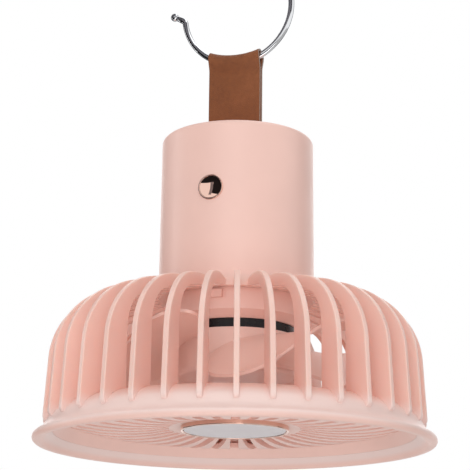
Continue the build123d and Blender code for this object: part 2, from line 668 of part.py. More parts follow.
# ---------------------------------------------------------------- battery and boards
def stadium(radius, low, high):
    ends = Pos(-CELL_X, 0, low) * Cylinder(radius, high - low, align=UP)
    ends += Pos(CELL_X, 0, low) * Cylinder(radius, high - low, align=UP)
    return ends + Pos(0, 0, low) * Box(2 * CELL_X, 2 * radius, high - low, align=UP)


def battery_cells():
    cells = []
    for side in (-1, 1):
        cell = Pos(side * CELL_X, 0, CELL_LOW) * Cylinder(CELL_R, CELL_L - 1.0, align=UP)
        cell = fillet(cell.edges(), 0.8)
        cell += Pos(side * CELL_X, 0, CELL_LOW + CELL_L - 1.5) * Cylinder(3.2, 1.5, align=UP)
        cells.append(cell)
    return Compound(children=[s for c in cells for s in c.solids()])


def board_post_places():
    x = BOARD_W / 2 - 3.5
    z = BOARD_H / 2 - 3.5
    return [(side * x, BUTTON_Z + level * z) for side in (-1, 1) for level in (-1, 1)]


def battery_tray():
    """Sleeve round the two cells, on feet, with posts for the boards."""
    low = CELL_LOW - TRAY_WALL
    tray = stadium(TRAY_R, low, CELL_LOW + CELL_L - 1.5)
    for side in (-1, 1):
        tray -= Pos(side * CELL_X, 0, CELL_LOW) * Cylinder(CELL_R + CELL_FIT, CELL_L, align=UP)
        tray += Pos(side * (CELL_X + 6), 0, FLOOR_TOP) * Cylinder(3.0, low - FLOOR_TOP + 0.5, align=UP)
    back = BOARD_Y - BOARD_T
    for x, z in board_post_places():
        tray += Pos(x, 0, z) * (front_disc(POST_R, back, TRAY_R - 1.4)
                                - front_disc(SMALL_R, back + 1, back - 6))
    shelf = Pos(0, TRAY_R - 0.6, CHARGE_Z - 2.0) * Box(
        CHARGE_W - 4, 14.0, 2.0, align=(Align.CENTER, Align.MIN, Align.MIN))
    for side in (-1, 1):
        shelf += Pos(side * (CHARGE_W / 2 - 4), TRAY_R - 2.0, CHARGE_Z - 8.0) * Box(
            1.6, 9.0, 6.5, align=(Align.CENTER, Align.MIN, Align.MIN))
    return tray + shelf


def control_board():
    """Upright board behind the button."""
    board = Pos(0, -BOARD_Y, BUTTON_Z) * Box(
        BOARD_W, BOARD_T, BOARD_H, align=(Align.CENTER, Align.MIN, Align.CENTER))
    for x, z in board_post_places():
        board -= Pos(x, 0, z) * front_disc(SMALL_R + 0.1, BOARD_Y + 1, BOARD_Y - BOARD_T - 1)
    return board


def board_screws():
    screws = []
    for x, z in board_post_places():
        head = front_disc(SMALL_HEAD_R, BOARD_Y + SMALL_HEAD_H, BOARD_Y)
        shank = front_disc(SMALL_R - RUN_FIT, BOARD_Y + 0.2, BOARD_Y - BOARD_T - 4)
        screws.append(Pos(x, 0, z) * (head + shank))
    return Compound(children=[s for one in screws for s in one.solids()])


def charge_board():
    """Level board at the back that carries the charging socket."""
    depth = sqrt((BORE_R - 1.5) ** 2 - (CHARGE_W / 2) ** 2)
    y = TRAY_R + 0.4
    return Pos(0, y, CHARGE_Z) * Box(
        CHARGE_W, depth - y, 1.2, align=(Align.CENTER, Align.MIN, Align.MIN))


def usb_socket():
    """Metal shell of the charging socket with its tongue."""
    shape = RectangleRounded(USB_W, USB_H, USB_H / 2 - 0.01)
    mouth = body_radius(USB_Z) - 0.4
    shell = Pos(0, mouth, USB_Z) * Rot(90, 0, 0) * extrude(shape, USB_L)
    hollow = RectangleRounded(USB_W - 0.6, USB_H - 0.6, USB_H / 2 - 0.31)
    shell -= Pos(0, mouth + 0.1, USB_Z) * Rot(90, 0, 0) * extrude(hollow, USB_L - 1.0)
    tongue = Pos(0, mouth - 0.8, USB_Z) * Box(
        USB_W - 2.4, USB_L - 1.2, 0.7, align=(Align.CENTER, Align.MAX, Align.CENTER))
    legs_low = CHARGE_Z + 1.2
    for side in (-1, 1):
        shell += Pos(side * (USB_W / 2 - 0.8), mouth - USB_L + 1.2, legs_low) * Box(
            1.0, 1.6, USB_Z - USB_H / 2 - legs_low + 0.2, align=UP)
    return shell + tongue


def tact_switch():
    """Small push switch on the control board, with a well for its plunger."""
    body = Pos(0, -BOARD_Y, BUTTON_Z) * Box(
        SWITCH_W, SWITCH_T, SWITCH_W, align=(Align.CENTER, Align.MAX, Align.CENTER))
    body -= Pos(0, 0, BUTTON_Z) * front_disc(
        PLUNGER_R + BUTTON_FIT, BOARD_Y + SWITCH_T + 1, BOARD_Y + 1.0)
    return body


# ---------------------------------------------------------------- power button
BUTTON_FACE = body_radius(BUTTON_Z) + BUTTON_PROUD   # front of the cap before the axis
PLUNGER_TIP = BOARD_Y + SWITCH_T + 1.6


def power_button():
    """Dished round cap on a stem, with a flange that stops it behind the wall."""
    cap_back = BORE_R - BODY_DRAFT - 1.2
    cap = front_disc(BUTTON_R, BUTTON_FACE, cap_back)
    ball = (BUTTON_R ** 2 + DISH_DEPTH ** 2) / (2 * DISH_DEPTH)
    cap -= Pos(0, -(BUTTON_FACE + ball - DISH_DEPTH), 0) * Sphere(ball)
    cap += front_disc(BUTTON_R + 1.0, cap_back + 0.3, cap_back - 0.6)
    cap += front_disc(STEM_R, cap_back, PLUNGER_TIP)
    return Pos(0, 0, BUTTON_Z) * cap


def switch_plunger():
    return Pos(0, 0, BUTTON_Z) * front_disc(
        PLUNGER_R, PLUNGER_TIP, BOARD_Y + 1.0 + BUTTON_TRAVEL + 0.2)


def button_bezel():
    """Thin bright ring round the cap, pressed into the housing."""
    near = BUTTON_FACE + 0.1
    far = body_radius(BUTTON_Z) - 1.4
    ring = front_disc(BEZEL_R, near, far) - front_disc(BUTTON_R + BUTTON_FIT, near + 1, far - 1)
    ring = fillet(ring.edges().filter_by(GeomType.CIRCLE).group_by(Axis.Y)[0], 0.25)
    return Pos(0, 0, BUTTON_Z) * ring


# ---------------------------------------------------------------- screws
def holder_screws():
    """From under the motor holder, up through it, into the housing's bosses."""
    screws = []
    for place in boss_places():
        head = place * disc(SCREW_HEAD_R, HOLDER_LOW, HOLDER_LOW + SCREW_HEAD_H)
        shank = place * disc(SCREW_R - RUN_FIT, HOLDER_LOW + 1, BODY_Z + BOSS_H - WALL - 3)
        recess = place * (Pos(0, 0, HOLDER_LOW) * (Box(2.6, 0.7, 1.4) + Box(0.7, 2.6, 1.4)))
        screws.append(head + shank - recess)
    return Compound(children=[s for one in screws for s in one.solids()])


def motor_screws():
    screws = []
    seat = FLOOR_TOP + BUSH_FLANGE_T
    for place in motor_screw_places():
        head = place * disc(SMALL_HEAD_R, seat, seat + SMALL_HEAD_H)
        shank = place * disc(SMALL_R - RUN_FIT, HOLDER_LOW + 0.2, seat + 0.5)
        screws.append(head + shank)
    return Compound(children=[s for one in screws for s in one.solids()])


# ---------------------------------------------------------------- build
add("s_hook", s_hook())
add("leather_strap", leather_strap())
add("strap_bar", strap_bar())
add("battery_housing", battery_housing())
add("fan_cage", fan_cage())
add("front_grille", front_grille())
add("hub_plate", hub_plate())
add("hub_trim_ring", hub_trim_ring())
add("motor_holder", motor_holder())
add("motor_bush", motor_bush())
add("motor_bearings", motor_bearings())
add("stator_core", stator_core())
add("stator_windings", stator_windings())
add("magnet_ring", magnet_ring())
add("rotor_can", rotor_can())
add("motor_shaft", motor_shaft())
add("shaft_clip", shaft_clip())
add("impeller", impeller())
add("battery_cells", battery_cells())
add("battery_tray", battery_tray())
add("control_board", control_board())
add("board_screws", board_screws())
add("charge_board", charge_board())
add("usb_socket", usb_socket())
add("tact_switch", tact_switch())
add("switch_plunger", switch_plunger())
add("power_button", power_button())
add("button_bezel", button_bezel())
add("holder_screws", holder_screws())
add("motor_screws", motor_screws())

os.makedirs("parts", exist_ok=True)
for name, shape in OUT:
    export_step(shape, f"parts/{name}.step")
    print(name, len(shape.solids()), round(shape.volume, 1))
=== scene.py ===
import math

import bmesh
import bpy
from mathutils import Matrix, Vector


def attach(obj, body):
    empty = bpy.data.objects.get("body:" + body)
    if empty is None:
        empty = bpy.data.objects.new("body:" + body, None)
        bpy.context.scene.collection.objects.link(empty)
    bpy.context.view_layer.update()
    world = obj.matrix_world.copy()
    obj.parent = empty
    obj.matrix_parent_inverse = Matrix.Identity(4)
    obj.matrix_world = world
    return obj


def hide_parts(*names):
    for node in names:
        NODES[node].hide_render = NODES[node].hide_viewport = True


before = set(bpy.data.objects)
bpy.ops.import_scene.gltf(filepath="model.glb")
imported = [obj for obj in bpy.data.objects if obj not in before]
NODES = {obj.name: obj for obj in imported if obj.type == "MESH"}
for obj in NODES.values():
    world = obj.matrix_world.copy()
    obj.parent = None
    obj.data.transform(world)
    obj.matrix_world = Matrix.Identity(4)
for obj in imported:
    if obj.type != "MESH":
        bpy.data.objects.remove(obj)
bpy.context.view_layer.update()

# ---------------------------------------------------------------- hook, in millimetres
# Heights are measured from the plane of the rim, as in the part's source, and lowered by
# HANG when a piece is placed, because the frame's origin is the hook's bearing point.
WIRE_R = 1.45
BALL_R = 2.0
BOWL_R = 25.6                      # middle line of each of the hook's two bowls
BOWL_Z = 198.2                     # centre of the lower bowl
UPPER_Z = BOWL_Z + 2 * BOWL_R      # centre of the upper bowl
HANG = UPPER_Z + BOWL_R - WIRE_R
HOOK_LEAN = 0.75                   # degrees that the hook leans on its rail
BOWL_X = -2 * BOWL_R * math.sin(math.radians(HOOK_LEAN))
HOOK_STOP = 9.0                    # degrees short of the level line where a bowl ends
FLARE_R = 2.2                      # bend between the bowl and the straight run to the ball
FLARE_TURN = 53.4                  # degrees
FLARE_RUN = 4.8
BOWL_STEPS = 96
FLARE_STEPS = 16
WIRE_SIDES = 28

# ---------------------------------------------------------------- strap, in millimetres
STRAP_X = -1.35                    # middle of its width
STRAP_W = 24.1
STRAP_T = 1.6
STRAP_GAP = 0.8                    # between its two legs
FOLD_PLAY = 0.12                   # over the wire
FOLD_SIDE = 1.15                   # beside the wire, so that the strap can swing
FOLD_PINCH = 0.03                  # share of its width that the strap loses over the wire
FOLD_LIFT = 0.6                    # the stiff leather bridges the wire's curve by this much
FOLD_THIN = 0.45                   # the wire presses the strap's edges thinner by this much
FOLD_NECK = 7.0                    # height over which the legs spread towards the wire
BAR_Z = 131.3
BAR_R = 1.25
BAR_PLAY = 0.3
BAR_NECK = 6.5                     # height over which the legs close up above the bar
EDGE_ROUND = 0.5                   # width of the rounding at each cut edge
EDGE_LEFT = 0.80                   # share of the thickness that is left at the very edge

STRAP_COLUMNS = 33
BAR_STEPS = 12
BAR_NECK_STEPS = 6
LEG_STEPS = 8
FOLD_NECK_STEPS = 8
FOLD_STEPS = 20
LEG_FIRST = BAR_STEPS + 1
LEG_LAST = BAR_STEPS + BAR_NECK_STEPS + LEG_STEPS + FOLD_NECK_STEPS
# Known fault: the mirrored back leg also takes this many of the fold's own points, so the
# back of the fold is laid twice. It should be 0.
MIRROR_EXTRA = 6
# Known fault: the fold is at its thinnest from this point on. Its top is FOLD_STEPS / 2.
THINNEST_STEP = 16

# ---------------------------------------------------------------- cage's base, in millimetres
RIM_FOOT = 0.6                     # the base ring, whose paler pink is a painted sheen, starts above this height
BASE_TOP = 13.5                    # and ends at this one, where the thin fins take over


def at(x, y, z):
    """A point in the frame, in metres."""
    return Vector((x, y, z - HANG)) / 1000


def facing(azimuth):
    """Unit vector from the axis towards an azimuth; 0 is -Y and 90 is +X."""
    a = math.radians(azimuth)
    return Vector((math.sin(a), -math.cos(a), 0))


def new_object(name, data):
    made = bpy.data.objects.new(name, data)
    bpy.context.scene.collection.objects.link(made)
    return made


def smooth_object(name, mesh, materials):
    """Turns a finished bmesh into an object with smooth shading."""
    bmesh.ops.recalc_face_normals(mesh, faces=mesh.faces[:])
    data = bpy.data.meshes.new(name)
    mesh.to_mesh(data)
    mesh.free()
    for poly in data.polygons:
        poly.use_smooth = True
    for mat in materials:
        data.materials.append(mat)
    return new_object(name, data)


def aim(made, azimuth, elevation, distance, target):
    """Puts an object at a distance from a target and turns its front to it."""
    e = math.radians(elevation)
    away = facing(azimuth) * math.cos(e) + Vector((0, 0, math.sin(e)))
    made.location = Vector(target) + away * distance
    made.rotation_mode = "QUATERNION"
    made.rotation_quaternion = (-away).to_track_quat("-Z", "Y")


def smooth_step(t):
    return t * t * (3 - 2 * t)


# ---------------------------------------------------------------- material helpers
# Noise scales count the pattern's repeats in a metre. Bump distances are in metres.
def new_material(name):
    mat = bpy.data.materials.new(name)
    mat.use_nodes = True
    tree = mat.node_tree
    shader = tree.nodes["Principled BSDF"]
    return mat, tree, shader


def node(tree, kind, **values):
    """A new node with its inputs or, where it has none of that name, its attributes set."""
    made = tree.nodes.new(kind)
    for key, value in values.items():
        if key in made.inputs:
            made.inputs[key].default_value = value
        else:
            setattr(made, key, value)
    return made


def noise(tree, coords, scale, detail=3.0, rough=0.55):
    made = node(tree, "ShaderNodeTexNoise", Scale=scale, Detail=detail, Roughness=rough)
    tree.links.new(coords, made.inputs["Vector"])
    return made.outputs["Fac"]


def ramp(tree, factor, stops):
    made = node(tree, "ShaderNodeValToRGB")
    points = made.color_ramp.elements
    while len(points) < len(stops):
        points.new(0.5)
    for point, (place, colour) in zip(points, stops):
        point.position = place
        point.color = (*colour, 1)
    tree.links.new(factor, made.inputs["Fac"])
    return made.outputs["Color"]


def level(tree, factor, low, high, start=0.0, end=1.0):
    """Maps a factor to a range of plain numbers."""
    made = node(tree, "ShaderNodeMapRange")
    made.inputs["From Min"].default_value = start
    made.inputs["From Max"].default_value = end
    made.inputs["To Min"].default_value = low
    made.inputs["To Max"].default_value = high
    tree.links.new(factor, made.inputs["Value"])
    return made.outputs["Result"]


def bump(tree, shader, height, distance, strength=1.0, after=None):
    made = node(tree, "ShaderNodeBump", Distance=distance, Strength=strength)
    tree.links.new(height, made.inputs["Height"])
    if after is not None:
        tree.links.new(after, made.inputs["Normal"])
    tree.links.new(made.outputs["Normal"], shader.inputs["Normal"])
    return made.outputs["Normal"]


def combine(tree, operation, first, second):
    """Two factors joined by a Math node, where the second may be a plain number."""
    made = node(tree, "ShaderNodeMath", operation=operation)
    tree.links.new(first, made.inputs[0])
    if isinstance(second, float):
        made.inputs[1].default_value = second
    else:
        tree.links.new(second, made.inputs[1])
    return made.outputs[0]


def object_coords(tree):
    return node(tree, "ShaderNodeTexCoord").outputs["Object"]


def stretched_coords(tree, coords, scale):
    made = node(tree, "ShaderNodeMapping", Scale=scale)
    tree.links.new(coords, made.inputs["Vector"])
    return made.outputs["Vector"]


def moulded(name, colour, shift=0.04, rough=(0.32, 0.40), grain=9000, depth=0.000012,
            specular=0.75, glow=0.0):
    """Moulded plastic with a fine spark-eroded grain and a faint drift in its colour."""
    mat, tree, shader = new_material(name)
    coords = object_coords(tree)
    drift = noise(tree, coords, scale=22)
    low = [c * (1 - shift) for c in colour]
    high = [min(1, c * (1 + shift)) for c in colour]
    tree.links.new(ramp(tree, drift, [(0.3, low), (0.7, high)]), shader.inputs["Base Color"])
    patch = noise(tree, coords, scale=140, detail=4)
    tree.links.new(level(tree, patch, *rough, 0.3, 0.7), shader.inputs["Roughness"])
    bump(tree, shader, noise(tree, coords, scale=grain, detail=2), depth)
    shader.inputs["Specular IOR Level"].default_value = specular
    if glow:
        shader.inputs["Subsurface Weight"].default_value = glow
        shader.inputs["Subsurface Radius"].default_value = (1.0, 0.65, 0.55)
        shader.inputs["Subsurface Scale"].default_value = 0.004
    return mat


def opaque_base_painted_sheen(mat, tint, foot, top):
    """The thick base ring, between two heights in the frame, lets no light through. Its colour
    is mixed towards a paler pink, a painted sheen that stands in for the broad highlight on the
    ring's curved top."""
    fade_to_fins, fade_from_foot = 0.004, 0.0015
    mix_factor, mix_a, mix_b, mix_colour = 0, 6, 7, 2    # a Mix node's sockets for colours
    tree = mat.node_tree
    shader = tree.nodes["Principled BSDF"]
    split = node(tree, "ShaderNodeSeparateXYZ")
    tree.links.new(object_coords(tree), split.inputs["Vector"])
    height = split.outputs["Z"]
    fins = level(tree, height, 0.0, 1.0, top - fade_to_fins, top)
    under = level(tree, height, 1.0, 0.0, foot, foot + fade_from_foot)
    weight = shader.inputs["Subsurface Weight"]
    tree.links.new(combine(tree, "MULTIPLY", fins, weight.default_value), weight)
    # Painted sheen: the base ring's colour is mixed towards the paler pink.
    tone = node(tree, "ShaderNodeMix", data_type="RGBA")
    tree.links.new(combine(tree, "MAXIMUM", fins, under), tone.inputs[mix_factor])
    tone.inputs[mix_a].default_value = (*tint, 1)
    base_colour = shader.inputs["Base Color"]
    tree.links.new(base_colour.links[0].from_socket, tone.inputs[mix_b])
    tree.links.new(tone.outputs[mix_colour], base_colour)


def plated(name, colour, rough=(0.03, 0.09), wave=0.00002):
    """Bright plating with a very slight unevenness and hazier patches."""
    mat, tree, shader = new_material(name)
    coords = object_coords(tree)
    haze = noise(tree, coords, scale=260, detail=4)
    tint = noise(tree, coords, scale=90, detail=2)
    low = [c * 0.95 for c in colour]
    tree.links.new(ramp(tree, tint, [(0.35, low), (0.65, colour)]), shader.inputs["Base Color"])
    tree.links.new(level(tree, haze, *rough, 0.35, 0.7), shader.inputs["Roughness"])
    bump(tree, shader, noise(tree, coords, scale=300, detail=2), wave)
    shader.inputs["Metallic"].default_value = 1.0
    return mat


def metal(name, colour, rough=(0.22, 0.38), scale=(3000, 3000, 60)):
    """Turned or rolled metal with fine lines along one direction."""
    mat, tree, shader = new_material(name)
    stretched = stretched_coords(tree, object_coords(tree), scale)
    lines = noise(tree, stretched, scale=1.0, detail=4)
    low = [c * 0.82 for c in colour]
    tree.links.new(ramp(tree, lines, [(0.3, low), (0.7, colour)]), shader.inputs["Base Color"])
    tree.links.new(level(tree, lines, *rough), shader.inputs["Roughness"])
    bump(tree, shader, lines, 0.00001)
    shader.inputs["Metallic"].default_value = 1.0
    return mat


def leather(name, colour, dark, light):
    """Smooth strap leather: pores, a fine pebble, and slow changes of colour."""
    mat, tree, shader = new_material(name)
    coords = object_coords(tree)
    slow = noise(tree, coords, scale=60, detail=4, rough=0.6)
    mottle = noise(tree, coords, scale=420, detail=5, rough=0.7)
    blend = node(tree, "ShaderNodeMix", data_type="FLOAT")
    blend.inputs["Factor"].default_value = 0.45
    tree.links.new(slow, blend.inputs["A"])
    tree.links.new(mottle, blend.inputs["B"])
    tone = ramp(tree, blend.outputs["Result"], [(0.3, dark), (0.5, colour), (0.72, light)])
    tree.links.new(tone, shader.inputs["Base Color"])
    cells = node(tree, "ShaderNodeTexVoronoi", feature="DISTANCE_TO_EDGE")
    cells.inputs["Scale"].default_value = 1500
    tree.links.new(coords, cells.inputs["Vector"])
    pebble = level(tree, cells.outputs["Distance"], 0.0, 1.0, 0.0, 0.25)
    first = bump(tree, shader, pebble, 0.00006, 0.6)
    bump(tree, shader, noise(tree, coords, scale=700, detail=4), 0.0001, 0.5, after=first)
    tree.links.new(level(tree, mottle, 0.48, 0.66, 0.3, 0.7), shader.inputs["Roughness"])
    shader.inputs["Specular IOR Level"].default_value = 0.35
    return mat


def cut_edge(name, dark, light):
    """The cut edge of leather: fibres in fine layers along the strap."""
    mat, tree, shader = new_material(name)
    stretched = stretched_coords(tree, object_coords(tree), (500, 5000, 700))
    fibre = noise(tree, stretched, scale=1.0, detail=5, rough=0.7)
    tree.links.new(ramp(tree, fibre, [(0.3, dark), (0.7, light)]), shader.inputs["Base Color"])
    bump(tree, shader, fibre, 0.00015, 0.8)
    shader.inputs["Roughness"].default_value = 0.8
    return mat


# ---------------------------------------------------------------- materials
PINK = (0.965, 0.635, 0.555)
# A paler pink painted on the cage's base ring as its sheen, not a colour of the plastic.
BASE_SHEEN_PINK_PAINTED = (0.955, 0.725, 0.67)
body_mat = moulded("body_satin_pink", PINK)
cage_mat = moulded("cage_satin_pink", PINK, grain=8000, glow=0.3)
opaque_base_painted_sheen(cage_mat, BASE_SHEEN_PINK_PAINTED, at(0, 0, RIM_FOOT).z, at(0, 0, BASE_TOP).z)
grille_mat = moulded("grille_satin_pink", PINK, grain=8500)
blade_mat = moulded("blade_satin_pink", PINK, glow=0.15)
plate_mat = moulded("plate_pale_grey", (0.75, 0.69, 0.71), shift=0.02, rough=(0.3, 0.4))
hook_mat = plated("hook_bright_nickel", (0.80, 0.81, 0.83), wave=0.000003)
rose_mat = plated("rose_gold_plating", (0.87, 0.58, 0.48), rough=(0.02, 0.06))
leather_mat = leather("strap_leather_brown", (0.265, 0.086, 0.030), (0.210, 0.066, 0.024),
                      (0.330, 0.110, 0.042))
edge_mat = cut_edge("strap_cut_edge", (0.22, 0.15, 0.12), (0.52, 0.42, 0.37))
black_mat = moulded("rotor_gloss_black", (0.012, 0.012, 0.013), rough=(0.24, 0.30), grain=6000,
                    depth=0.000004, specular=0.25)
dark_mat = moulded("inner_black_plastic", (0.03, 0.03, 0.03))
white_mat = moulded("inner_white_plastic", (0.70, 0.69, 0.66))
steel_mat = metal("inner_steel", (0.55, 0.56, 0.58))
brass_mat = metal("turned_brass", (0.70, 0.52, 0.25))
copper_mat = metal("enamelled_copper", (0.60, 0.25, 0.12), scale=(200, 200, 9000))
magnet_mat = moulded("sintered_magnet", (0.05, 0.05, 0.055), rough=(0.5, 0.7), grain=4000)
board_mat = moulded("board_lacquer", (0.02, 0.12, 0.05), rough=(0.2, 0.35))
cell_mat = moulded("cell_sleeve_blue", (0.02, 0.12, 0.35), rough=(0.2, 0.3))

LOOKS = {
    "s_hook": hook_mat, "leather_strap": leather_mat, "strap_bar": steel_mat,
    "battery_housing": body_mat, "fan_cage": cage_mat, "front_grille": grille_mat,
    "hub_plate": plate_mat, "hub_trim_ring": rose_mat, "motor_holder": body_mat,
    "motor_bush": brass_mat, "motor_bearings": steel_mat, "stator_core": steel_mat,
    "stator_windings": copper_mat, "magnet_ring": magnet_mat, "rotor_can": black_mat,
    "motor_shaft": steel_mat, "shaft_clip": steel_mat, "impeller": blade_mat,
    "battery_cells": cell_mat, "battery_tray": white_mat, "control_board": board_mat,
    "board_screws": steel_mat, "charge_board": board_mat, "usb_socket": steel_mat,
    "tact_switch": dark_mat, "switch_plunger": dark_mat, "power_button": rose_mat,
    "button_bezel": rose_mat, "holder_screws": steel_mat, "motor_screws": steel_mat,
}
for name, cad in NODES.items():
    cad.data.materials.clear()
    cad.data.materials.append(LOOKS[name])


# ---------------------------------------------------------------- hook
def half_hook():
    """The wire's middle line from the hook's middle to one end, in (x, z) about the middle."""
    line = []
    sweep = math.radians(270 - HOOK_STOP)
    turn = math.radians(FLARE_TURN)
    for i in range(BOWL_STEPS + 1):
        a = math.pi / 2 - sweep * i / BOWL_STEPS
        line.append(Vector((BOWL_R * math.cos(a), BOWL_R * math.sin(a) - BOWL_R)))
    heading = -sweep
    centre = line[-1] + FLARE_R * Vector((-math.sin(heading), math.cos(heading)))
    for i in range(1, FLARE_STEPS + 1):
        a = heading + turn * i / FLARE_STEPS
        line.append(centre + FLARE_R * Vector((math.sin(a), -math.cos(a))))
    last = heading + turn
    line.append(line[-1] + FLARE_RUN * Vector((math.cos(last), math.sin(last))))
    return line


def hook_line():
    """The whole hook's middle line, leaning about the centre of its upper bowl."""
    half = half_hook()
    lean = math.radians(HOOK_LEAN)
    line = []
    for p in half[::-1] + [-p for p in half[1:]]:
        x, z = p.x, p.y - BOWL_R
        line.append((x * math.cos(lean) + z * math.sin(lean),
                     UPPER_Z - x * math.sin(lean) + z * math.cos(lean)))
    return line


def make_hook():
    """The S-hook again with a much finer mesh, so that its plating reflects cleanly."""
    line = hook_line()
    mesh = bmesh.new()
    rings = []
    for i, (x, z) in enumerate(line):
        before, after = line[max(0, i - 1)], line[min(len(line) - 1, i + 1)]
        tx, tz = after[0] - before[0], after[1] - before[1]
        length = math.hypot(tx, tz)
        nx, nz = -tz / length, tx / length
        ring = []
        for k in range(WIRE_SIDES):
            a = 2 * math.pi * k / WIRE_SIDES
            out, across = WIRE_R * math.cos(a), WIRE_R * math.sin(a)
            ring.append(mesh.verts.new(at(x + nx * out, across, z + nz * out)))
        rings.append(ring)
    for one, two in zip(rings, rings[1:]):
        for k in range(WIRE_SIDES):
            n = (k + 1) % WIRE_SIDES
            mesh.faces.new((one[k], two[k], two[n], one[n]))
    mesh.faces.new(rings[0][::-1])
    mesh.faces.new(rings[-1])
    for x, z in (line[0], line[-1]):
        bmesh.ops.create_uvsphere(mesh, u_segments=32, v_segments=20, radius=BALL_R / 1000,
                                  matrix=Matrix.Translation(at(x, 0, z)))
    return smooth_object("s_hook_smooth", mesh, [hook_mat])


hook = make_hook()
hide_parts("s_hook")
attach(hook, "hook")


# ---------------------------------------------------------------- strap
def fold_thickness(x):
    """The leather is pressed thin where the wire carries it, towards its two edges."""
    share = min(1, abs(x - BOWL_X) / (STRAP_W / 2))
    return STRAP_T - FOLD_THIN * share ** 2


def strap_section(x):
    """The strap's middle line in (y, z) at one place across its width: round the bar, up the
    front leg, over the wire and down the back leg."""
    half = STRAP_GAP / 2 + STRAP_T / 2
    bar_r = BAR_R + BAR_PLAY + STRAP_T / 2
    reach = x - FOLD_PINCH * (x - STRAP_X) - BOWL_X
    depth = math.sqrt(BOWL_R ** 2 - reach ** 2)
    wire_z = BOWL_Z - depth
    fold_r = WIRE_R + FOLD_SIDE + fold_thickness(x) / 2
    rise = (WIRE_R + FOLD_PLAY) * BOWL_R / depth + fold_thickness(x) / 2
    rise += FOLD_LIFT * (1 - min(1, abs(reach) / (STRAP_W / 2)) ** 2)
    leg_low, leg_high = BAR_Z + BAR_NECK, wire_z - FOLD_NECK
    line = []
    for i in range(BAR_STEPS + 1):
        a = math.pi * i / BAR_STEPS
        line.append((bar_r * math.cos(a), BAR_Z - bar_r * math.sin(a)))
    for i in range(1, BAR_NECK_STEPS + 1):
        t = i / BAR_NECK_STEPS
        line.append((-bar_r + (bar_r - half) * smooth_step(t), BAR_Z + BAR_NECK * t))
    for i in range(1, LEG_STEPS + 1):
        line.append((-half, leg_low + (leg_high - leg_low) * i / LEG_STEPS))
    for i in range(1, FOLD_NECK_STEPS + 1):
        t = i / FOLD_NECK_STEPS
        line.append((-half - (fold_r - half) * smooth_step(t), leg_high + FOLD_NECK * t))
    for i in range(1, FOLD_STEPS):
        a = math.pi * i / FOLD_STEPS
        line.append((-fold_r * math.cos(a), wire_z + rise * math.sin(a)))
    mirrored = [(-y, z) for y, z in line[LEG_FIRST:LEG_LAST + 1 + MIRROR_EXTRA]]
    return line + mirrored[::-1]


def strap_ring(mesh, x):
    """The strap's outer and inner vertices at one place across its width."""
    line = strap_section(x)
    fold_foot, fold_thinnest = line[LEG_LAST][1], line[LEG_LAST + THINNEST_STEP][1]
    edge = STRAP_W / 2 - abs(x - STRAP_X)
    round_off = 1
    if edge <= EDGE_ROUND:
        round_off = EDGE_LEFT + (1 - EDGE_LEFT) * math.sin(math.pi / 2 * edge / EDGE_ROUND)
    outer, inner = [], []
    for k, (y, z) in enumerate(line):
        y0, z0 = line[k - 1]
        y1, z1 = line[(k + 1) % len(line)]
        length = math.hypot(y1 - y0, z1 - z0)
        ny, nz = -(z1 - z0) / length, (y1 - y0) / length
        over = max(0, min(1, (z - fold_foot) / (fold_thinnest - fold_foot)))
        thick = round_off * (STRAP_T + (fold_thickness(x) - STRAP_T) * over) / 2
        across = x - FOLD_PINCH * (x - STRAP_X) * over
        outer.append(mesh.verts.new(at(across, y + ny * thick, z + nz * thick)))
        inner.append(mesh.verts.new(at(across, y - ny * thick, z - nz * thick)))
    return outer, inner


def make_strap():
    """One closed loop of leather, with its two cut edges in their own material."""
    mesh = bmesh.new()
    rings = []
    for i in range(STRAP_COLUMNS):
        rings.append(strap_ring(mesh, STRAP_X + (i / (STRAP_COLUMNS - 1) - 0.5) * STRAP_W))
    count = len(rings[0][0])
    for (o0, i0), (o1, i1) in zip(rings, rings[1:]):
        for k in range(count):
            n = (k + 1) % count
            mesh.faces.new((o0[k], o1[k], o1[n], o0[n]))
            mesh.faces.new((i0[k], i0[n], i1[n], i1[k]))
    for outer, inner in (rings[0], rings[-1]):
        for k in range(count):
            n = (k + 1) % count
            face = mesh.faces.new((outer[k], outer[n], inner[n], inner[k]))
            face.material_index = 1
    return smooth_object("leather_strap_folded", mesh, [leather_mat, edge_mat])


strap = make_strap()
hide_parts("leather_strap")
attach(strap, "strap")

# ---------------------------------------------------------------- stage, in metres
VIEW_AZ = 19.8                     # the camera's azimuth, from which lamps and cards turn
FLOOR_Z = -1.6
FLOOR_SIZE = 6.0
FLOOR_WHITE = 0.6                  # share of plain white in what the camera sees of the floor
AMBIENT = 0.56
AMBIENT_COLOUR = (1.0, 0.99, 0.98, 1)
BODY_MIDDLE = (0, 0, -0.17)        # the lamps' target
CARD_TARGET = (0, 0, -0.12)
HOOK_TARGET = (0, 0, -0.075)
CARD_FAR = 0.9
CARD_NEAR = 0.12
HOOK_CARD_SIZE = (0.107, 0.07)
COOL = 1.1                         # the cards are slightly blue


def make_floor():
    """A pale floor, lightened for the camera by a share of plain white."""
    mesh = bmesh.new()
    bmesh.ops.create_grid(mesh, x_segments=8, y_segments=8, size=FLOOR_SIZE)
    data = bpy.data.meshes.new("floor")
    mesh.to_mesh(data)
    mesh.free()
    mat, tree, shader = new_material("floor_pale")
    drift = noise(tree, object_coords(tree), scale=3, detail=2)
    tone = ramp(tree, drift, [(0.3, (0.86, 0.86, 0.86)), (0.7, (0.90, 0.90, 0.90))])
    tree.links.new(tone, shader.inputs["Base Color"])
    shader.inputs["Roughness"].default_value = 0.9
    white = node(tree, "ShaderNodeEmission", Strength=1.0)
    path = node(tree, "ShaderNodeLightPath")
    blend = node(tree, "ShaderNodeMixShader")
    share = level(tree, path.outputs["Is Camera Ray"], 0.0, FLOOR_WHITE)
    tree.links.new(share, blend.inputs["Fac"])
    tree.links.new(shader.outputs["BSDF"], blend.inputs[1])
    tree.links.new(white.outputs["Emission"], blend.inputs[2])
    tree.links.new(blend.outputs["Shader"], tree.nodes["Material Output"].inputs["Surface"])
    data.materials.append(mat)
    floor = new_object("floor", data)
    floor.location = (0, 0, FLOOR_Z)


